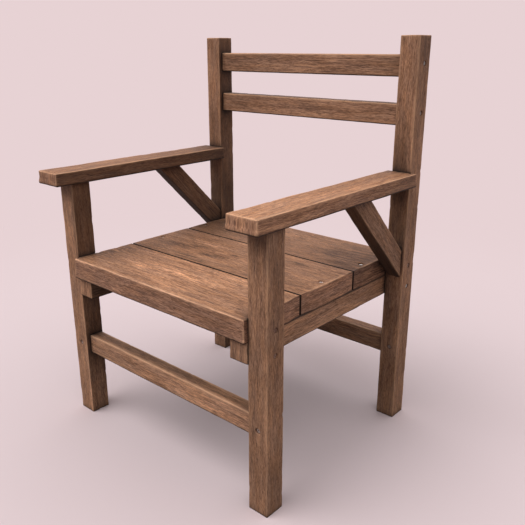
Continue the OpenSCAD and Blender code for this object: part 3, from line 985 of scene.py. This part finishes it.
# %% Dowel finish
def dowel_wood(name):
    """Pale wood with short upright fibres, read from Object coordinates."""
    finish, tree = new_finish(name)
    where = add(tree, "ShaderNodeTexCoord").outputs["Object"]
    squeezed = add(tree, "ShaderNodeMapping", Vector=where, Scale=(900.0, 900.0, 25.0)).outputs[0]
    fibres = add(tree, "ShaderNodeTexNoise", Vector=squeezed, Scale=1.0, Detail=3.0).outputs["Fac"]
    colour = ramp(tree, fibres, [(0.3, (0.36, 0.22, 0.12)), (0.7, (0.58, 0.40, 0.24))])
    bump = add(tree, "ShaderNodeBump", Strength=0.3, Distance=0.0002, Height=fibres).outputs[0]
    shader = add(tree, "ShaderNodeBsdfPrincipled", Base_Color=colour, Normal=bump)
    shader.inputs["Roughness"].default_value = 0.7
    add(tree, "ShaderNodeOutputMaterial", Surface=shader.outputs[0])
    return finish


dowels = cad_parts["brace_dowels"]
dowels.data.materials.clear()
dowels.data.materials.append(dowel_wood("dowel_wood"))
print("dowels finished")

# %% [markdown]
# ## Floor, light and camera
#
# A studio floor is one big pale sheet. Close to the chair it is an ordinary matt surface that takes
# the shadow. Further out it turns into the even colour of the backdrop, so no horizon shows. Two
# lamps are enough: a very wide one almost overhead stands for the soft light of a whole ceiling, and
# a narrower one from the front left models the faces. The world adds a trace of light to the rest.

# %% Floor
BACKDROP = (0.799, 0.645, 0.658)
FLOOR_RADIUS = 30.0


def round_floor(name, radius):
    """A flat disc: points at (r cos a, r sin a, 0), with r growing as the square of the ring."""
    rings, turns = 40, 96
    r = radius * (np.arange(1, rings + 1) / rings) ** 2
    a = np.linspace(0, 2 * np.pi, turns, endpoint=False)
    points = np.stack([np.outer(r, np.cos(a)), np.outer(r, np.sin(a)), np.zeros((rings, turns))], -1)
    points = np.concatenate([points.reshape(-1, 3), [[0, 0, 0]]])
    faces = ring_quads(rings, turns).tolist() + fan(rings * turns, 0, turns).tolist()
    mesh = bpy.data.meshes.new(name)
    mesh.from_pydata(points.tolist(), [], faces)
    obj = bpy.data.objects.new(name, mesh)
    bpy.context.collection.objects.link(obj)
    return obj


floor = round_floor("studio_floor", FLOOR_RADIUS)
finish, tree = new_finish("floor_paper")
where = add(tree, "ShaderNodeTexCoord").outputs["Object"]
distance = add(tree, "ShaderNodeVectorMath", {"operation": "LENGTH"}, i0=where).outputs["Value"]
ray = add(tree, "ShaderNodeLightPath")
paper = mix_colour(tree, ray.outputs["Is Camera Ray"], (0.25, 0.225, 0.23, 1.0), (0.735, 0.600, 0.615, 1.0))
matt = add(tree, "ShaderNodeBsdfDiffuse", Color=paper).outputs[0]
flat = add(tree, "ShaderNodeEmission", Color=(*BACKDROP, 1.0), Strength=1.0).outputs[0]
far = window(tree, distance, 0.7, 2.2)
shown = math_node(tree, "MAXIMUM", ray.outputs["Is Camera Ray"], ray.outputs["Is Glossy Ray"])
surface = add(tree, "ShaderNodeMixShader", i0=math_node(tree, "MULTIPLY", far, shown), i1=matt, i2=flat)
add(tree, "ShaderNodeOutputMaterial", Surface=surface.outputs[0])
floor.data.materials.append(finish)
print("floor radius", FLOOR_RADIUS)

# %% World and lamps
world = bpy.data.worlds.new("studio")
bpy.context.scene.world = world
world.use_nodes = True
tree = world.node_tree
tree.nodes.clear()
ray = add(tree, "ShaderNodeLightPath")
shown = math_node(tree, "MAXIMUM", ray.outputs["Is Camera Ray"], ray.outputs["Is Glossy Ray"])
fill = add(tree, "ShaderNodeBackground", Color=(0.85, 1.0, 1.0, 1.0), Strength=0.028)
seen = add(tree, "ShaderNodeBackground", Color=(*BACKDROP, 1.0), Strength=1.0)
mixed = add(tree, "ShaderNodeMixShader", i0=shown, i1=fill.outputs[0], i2=seen.outputs[0])
add(tree, "ShaderNodeOutputWorld", Surface=mixed.outputs[0])


def soft_sun(name, height, from_left, spread, level):
    """A sun lamp seen at a height above the floor and an angle round to the left of the chair's
    front, all in degrees. level is the light it puts on a sheet that faces it, where 1 shows a
    white sheet as white."""
    data = bpy.data.lights.new(name, "SUN")
    data.angle = math.radians(spread)
    data.energy = math.pi * level
    lamp = bpy.data.objects.new(name, data)
    bpy.context.collection.objects.link(lamp)
    lamp.rotation_euler = (math.radians(90 - height), 0.0, math.radians(-from_left))
    print(name, "level", level)
    return lamp


soft_sun("dome_lamp", height=84, from_left=220, spread=125, level=0.78)
soft_sun("key_lamp", height=50, from_left=32, spread=50, level=0.42)

# %% Camera
# It stands to the front right, about as high as the back, and looks down on the seat
CAMERA_PLACE = (1.0127, -1.0459, 0.9056)
LOOKS_DOWN = 18.733
TURNED_LEFT = 41.289
data = bpy.data.cameras.new("studio_camera")
data.sensor_width = 36.0
data.lens = 43.39
data.clip_end = 100.0
camera = bpy.data.objects.new("studio_camera", data)
bpy.context.collection.objects.link(camera)
camera.location = CAMERA_PLACE
camera.rotation_euler = (math.radians(90 - LOOKS_DOWN), 0.0, math.radians(TURNED_LEFT))
bpy.context.scene.camera = camera
bpy.context.scene.view_settings.view_transform = "Standard"
print("camera ready")
